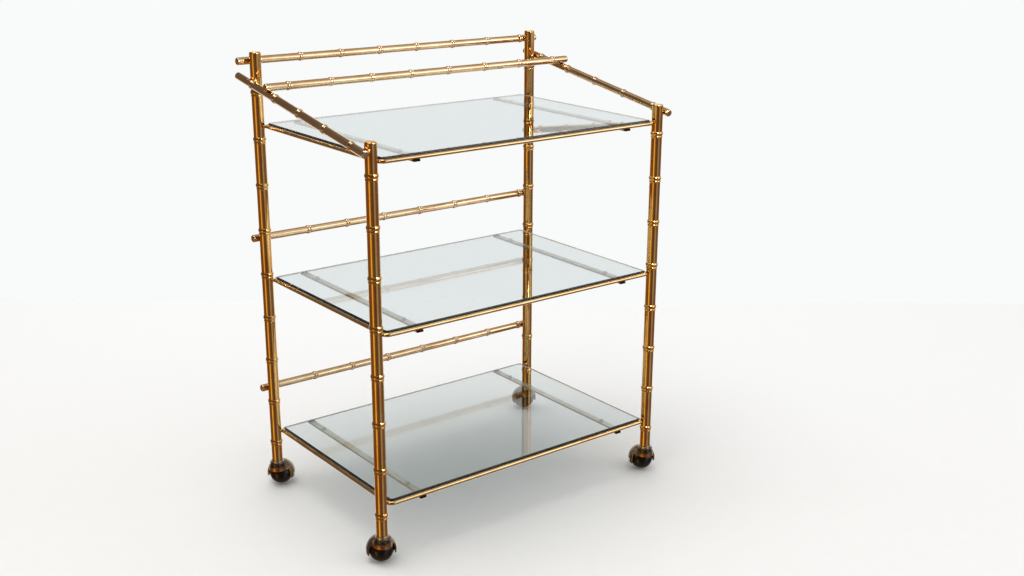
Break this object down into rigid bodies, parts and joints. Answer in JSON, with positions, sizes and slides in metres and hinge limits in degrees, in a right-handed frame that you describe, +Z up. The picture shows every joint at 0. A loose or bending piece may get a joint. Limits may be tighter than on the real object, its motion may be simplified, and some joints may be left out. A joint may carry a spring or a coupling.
{
  "type": "bar cart",
  "caption": "Bar cart with a ringed brass tube frame, tinted glass shelves, a raised back, sloping side rails, a push handle and hooded ball casters.",
  "frame": {"origin": "on the floor at the middle of the cart's outline", "axes": "+Z up from the floor, +X along the long side towards the right as seen from the front, +Y from the front towards the raised back"},
  "size_m": [0.6176, 0.402, 0.768],
  "materials": {
    "polished_brass": "polished, lightly tarnished",
    "satin_brass": "worn satin",
    "smoked_glass": "clear, light grey tint",
    "clear_pads": "clear soft pad",
    "antique_steel": "aged plating",
    "antique_bronze": "antique plated casting",
    "black_wheel": "glossy black"
  },
  "bodies": {
    "frame": {"post_rear_left": "polished_brass", "post_rear_right": "polished_brass", "post_front_left": "polished_brass", "post_front_right": "polished_brass", "cap_rear_left": "polished_brass", "cap_rear_right": "polished_brass", "cap_front_left": "polished_brass", "cap_front_right": "polished_brass", "top_back_rail": "polished_brass", "middle_back_rail": "polished_brass", "lower_back_rail": "polished_brass", "side_rail_left": "polished_brass", "side_rail_right": "polished_brass", "handle_rail": "polished_brass", "top_back_rail_plugs": "polished_brass", "middle_back_rail_plugs": "polished_brass", "lower_back_rail_plugs": "polished_brass", "side_rail_left_plugs": "polished_brass", "side_rail_right_plugs": "polished_brass", "handle_rail_plugs": "polished_brass", "rail_rivets": "polished_brass", "handle_rivets": "polished_brass", "shelf_pins": "polished_brass", "top_shelf_frame": "polished_brass", "middle_shelf_frame": "polished_brass", "bottom_shelf_frame": "polished_brass", "top_shelf_straps": "satin_brass", "middle_shelf_straps": "satin_brass", "bottom_shelf_straps": "satin_brass", "top_glass_pads": "clear_pads", "middle_glass_pads": "clear_pads", "bottom_glass_pads": "clear_pads", "top_glass": "smoked_glass", "middle_glass": "smoked_glass", "bottom_glass": "smoked_glass", "socket_rear_left": "antique_steel", "socket_rear_right": "antique_steel", "socket_front_left": "antique_steel", "socket_front_right": "antique_steel"},
    "swivel_rear_left": {"stem_rear_left": "antique_steel", "washer_rear_left": "antique_steel", "hood_rear_left": "antique_bronze", "axle_rear_left": "antique_steel"},
    "wheel_body_rear_left": {"wheel_rear_left": "black_wheel"},
    "swivel_rear_right": {"stem_rear_right": "antique_steel", "washer_rear_right": "antique_steel", "hood_rear_right": "antique_bronze", "axle_rear_right": "antique_steel"},
    "wheel_body_rear_right": {"wheel_rear_right": "black_wheel"},
    "swivel_front_left": {"stem_front_left": "antique_steel", "washer_front_left": "antique_steel", "hood_front_left": "antique_bronze", "axle_front_left": "antique_steel"},
    "wheel_body_front_left": {"wheel_front_left": "black_wheel"},
    "swivel_front_right": {"stem_front_right": "antique_steel", "washer_front_right": "antique_steel", "hood_front_right": "antique_bronze", "axle_front_right": "antique_steel"},
    "wheel_body_front_right": {"wheel_front_right": "black_wheel"}
  },
  "joints": [
    {"name": "caster_swivel_rear_left", "type": "hinge", "parent": "frame", "child": "swivel_rear_left", "pos_m": [-0.2815, 0.16325, 0.05], "axis": [0, 0, 1], "continuous": true},
    {"name": "wheel_spin_rear_left", "type": "hinge", "parent": "swivel_rear_left", "child": "wheel_body_rear_left", "pos_m": [-0.27116, 0.17193, 0.0205], "axis": [0.6428, -0.766, 0], "continuous": true},
    {"name": "caster_swivel_rear_right", "type": "hinge", "parent": "frame", "child": "swivel_rear_right", "pos_m": [0.2815, 0.16325, 0.05], "axis": [0, 0, 1], "continuous": true},
    {"name": "wheel_spin_rear_right", "type": "hinge", "parent": "swivel_rear_right", "child": "wheel_body_rear_right", "pos_m": [0.28477, 0.17635, 0.0205], "axis": [0.9703, -0.2419, 0], "continuous": true},
    {"name": "caster_swivel_front_left", "type": "hinge", "parent": "frame", "child": "swivel_front_left", "pos_m": [-0.2815, -0.18575, 0.05], "axis": [0, 0, 1], "continuous": true},
    {"name": "wheel_spin_front_left", "type": "hinge", "parent": "swivel_front_left", "child": "wheel_body_front_left", "pos_m": [-0.27644, -0.17323, 0.0205], "axis": [0.9272, -0.3746, 0], "continuous": true},
    {"name": "caster_swivel_front_right", "type": "hinge", "parent": "frame", "child": "swivel_front_right", "pos_m": [0.2815, -0.18575, 0.05], "axis": [0, 0, 1], "continuous": true},
    {"name": "wheel_spin_front_right", "type": "hinge", "parent": "swivel_front_right", "child": "wheel_body_front_right", "pos_m": [0.28612, -0.17306, 0.0205], "axis": [0.9397, -0.342, 0], "continuous": true}
  ]
}
